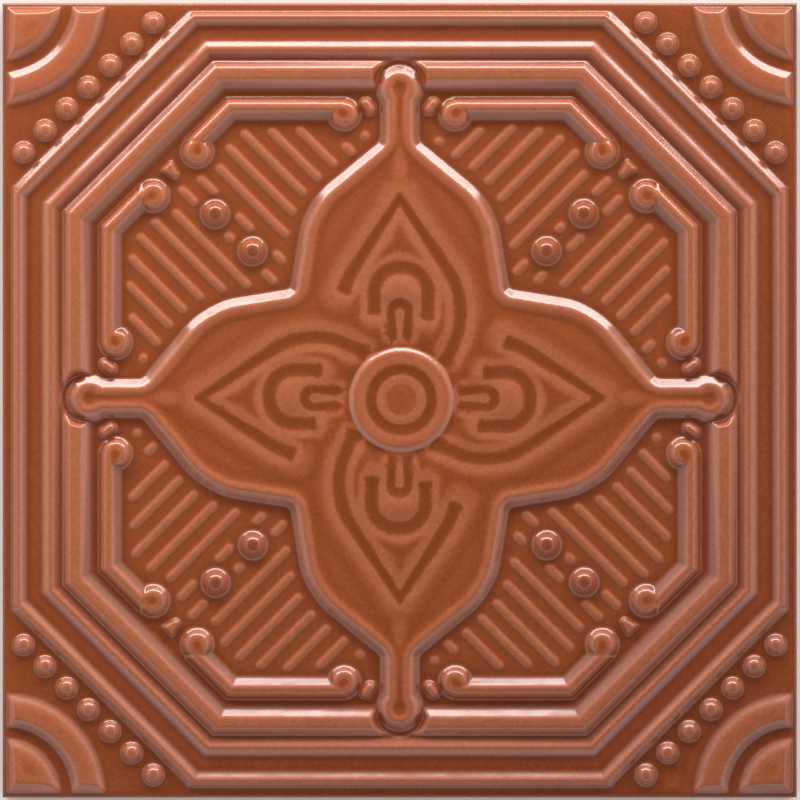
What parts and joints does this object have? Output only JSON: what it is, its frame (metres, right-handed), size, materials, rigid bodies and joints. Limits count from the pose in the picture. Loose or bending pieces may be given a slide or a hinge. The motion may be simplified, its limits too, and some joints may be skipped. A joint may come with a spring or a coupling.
{
  "type": "square relief tile",
  "caption": "Square glazed ceramic tile with a pressed relief: a four-petal flower in an eight-sided moulded frame, beaded corners and a plain flat back.",
  "frame": {"origin": "middle of the plain back, on the surface that the tile lies on", "axes": "+Z out of the decorated face, +Y towards the edge that stands at the top of the picture, +X to the right of it"},
  "size_m": [0.2, 0.2, 0.01],
  "materials": {
    "glazed_clay": "glossy reddish brown glaze, paler on the crests and darker in the hollows, over unglazed red clay at the sides and back"
  },
  "bodies": {
    "root": {"relief_tile": "glazed_clay"}
  },
  "joints": []
}
